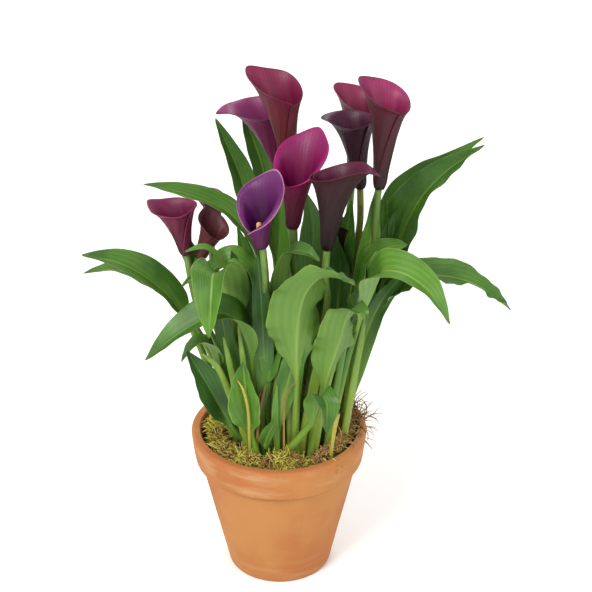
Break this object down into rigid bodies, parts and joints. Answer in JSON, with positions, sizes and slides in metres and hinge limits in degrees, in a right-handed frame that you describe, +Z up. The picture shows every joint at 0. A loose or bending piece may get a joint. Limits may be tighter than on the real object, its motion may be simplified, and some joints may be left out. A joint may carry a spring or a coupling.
{
  "type": "potted calla lily",
  "caption": "Potted calla lily with dark purple flowers and arching leaves in a round clay pot topped with moss.",
  "frame": {"origin": "centre of the pot's foot, on the surface it stands on", "axes": "+Z up; the fuller, pictured side of the plant faces -Y; +X is to the right seen from the front"},
  "size_m": [0.3723, 0.1879, 0.4754],
  "materials": {
    "clay": "unglazed matte terracotta with pale mineral bloom",
    "soil": "dark damp potting soil",
    "moss": "dry tangled sheet moss, yellow-green to brown",
    "leaf": "fresh green satin leaf, paler beneath, with fine parallel veins",
    "spathe": "magenta to dark burgundy satin petal with a pale margin",
    "stem": "yellow-green flower stem ending in an orange-yellow spadix"
  },
  "bodies": {
    "root": {"pot": "clay", "soil": "soil", "moss_front_left": "moss", "moss_front": "moss", "moss_right": "moss", "moss_back": "moss", "moss_left": "moss", "flower_stem_01": "stem", "flower_stem_02": "stem", "flower_stem_03": "stem", "flower_stem_04": "stem", "flower_stem_05": "stem", "flower_stem_06": "stem", "flower_stem_07": "stem", "flower_stem_08": "stem", "flower_stem_09": "stem", "flower_stem_10": "stem", "flower_stem_11": "stem", "flower_stem_12": "stem", "spathe_01": "spathe", "spathe_02": "spathe", "spathe_03": "spathe", "spathe_04": "spathe", "spathe_05": "spathe", "spathe_06": "spathe", "spathe_07": "spathe", "spathe_08": "spathe", "spathe_09": "spathe", "spathe_10": "spathe", "spathe_11": "spathe", "spathe_12": "spathe", "leaf_long_left": "leaf", "leaf_behind_left": "leaf", "leaf_arched_left": "leaf", "leaf_low_left": "leaf", "leaf_folded_left": "leaf", "leaf_waved_left": "leaf", "leaf_high_left": "leaf", "leaf_upright_left": "leaf", "leaf_upright_back": "leaf", "leaf_side_left": "leaf", "leaf_dark_left": "leaf", "leaf_sheath_left": "leaf", "leaf_fresh_left": "leaf", "leaf_hanging_middle": "leaf", "leaf_broad_middle": "leaf", "leaf_crest_middle": "leaf", "leaf_tall_middle": "leaf", "leaf_thin_middle": "leaf", "leaf_curled_front": "leaf", "leaf_small_front": "leaf", "leaf_folded_right": "leaf", "leaf_front_right": "leaf", "leaf_long_right": "leaf", "leaf_waved_right": "leaf", "leaf_wide_right": "leaf", "leaf_pointed_right": "leaf", "leaf_dark_right": "leaf", "leaf_upright_right": "leaf", "leaf_inner_right": "leaf"}
  },
  "joints": []
}
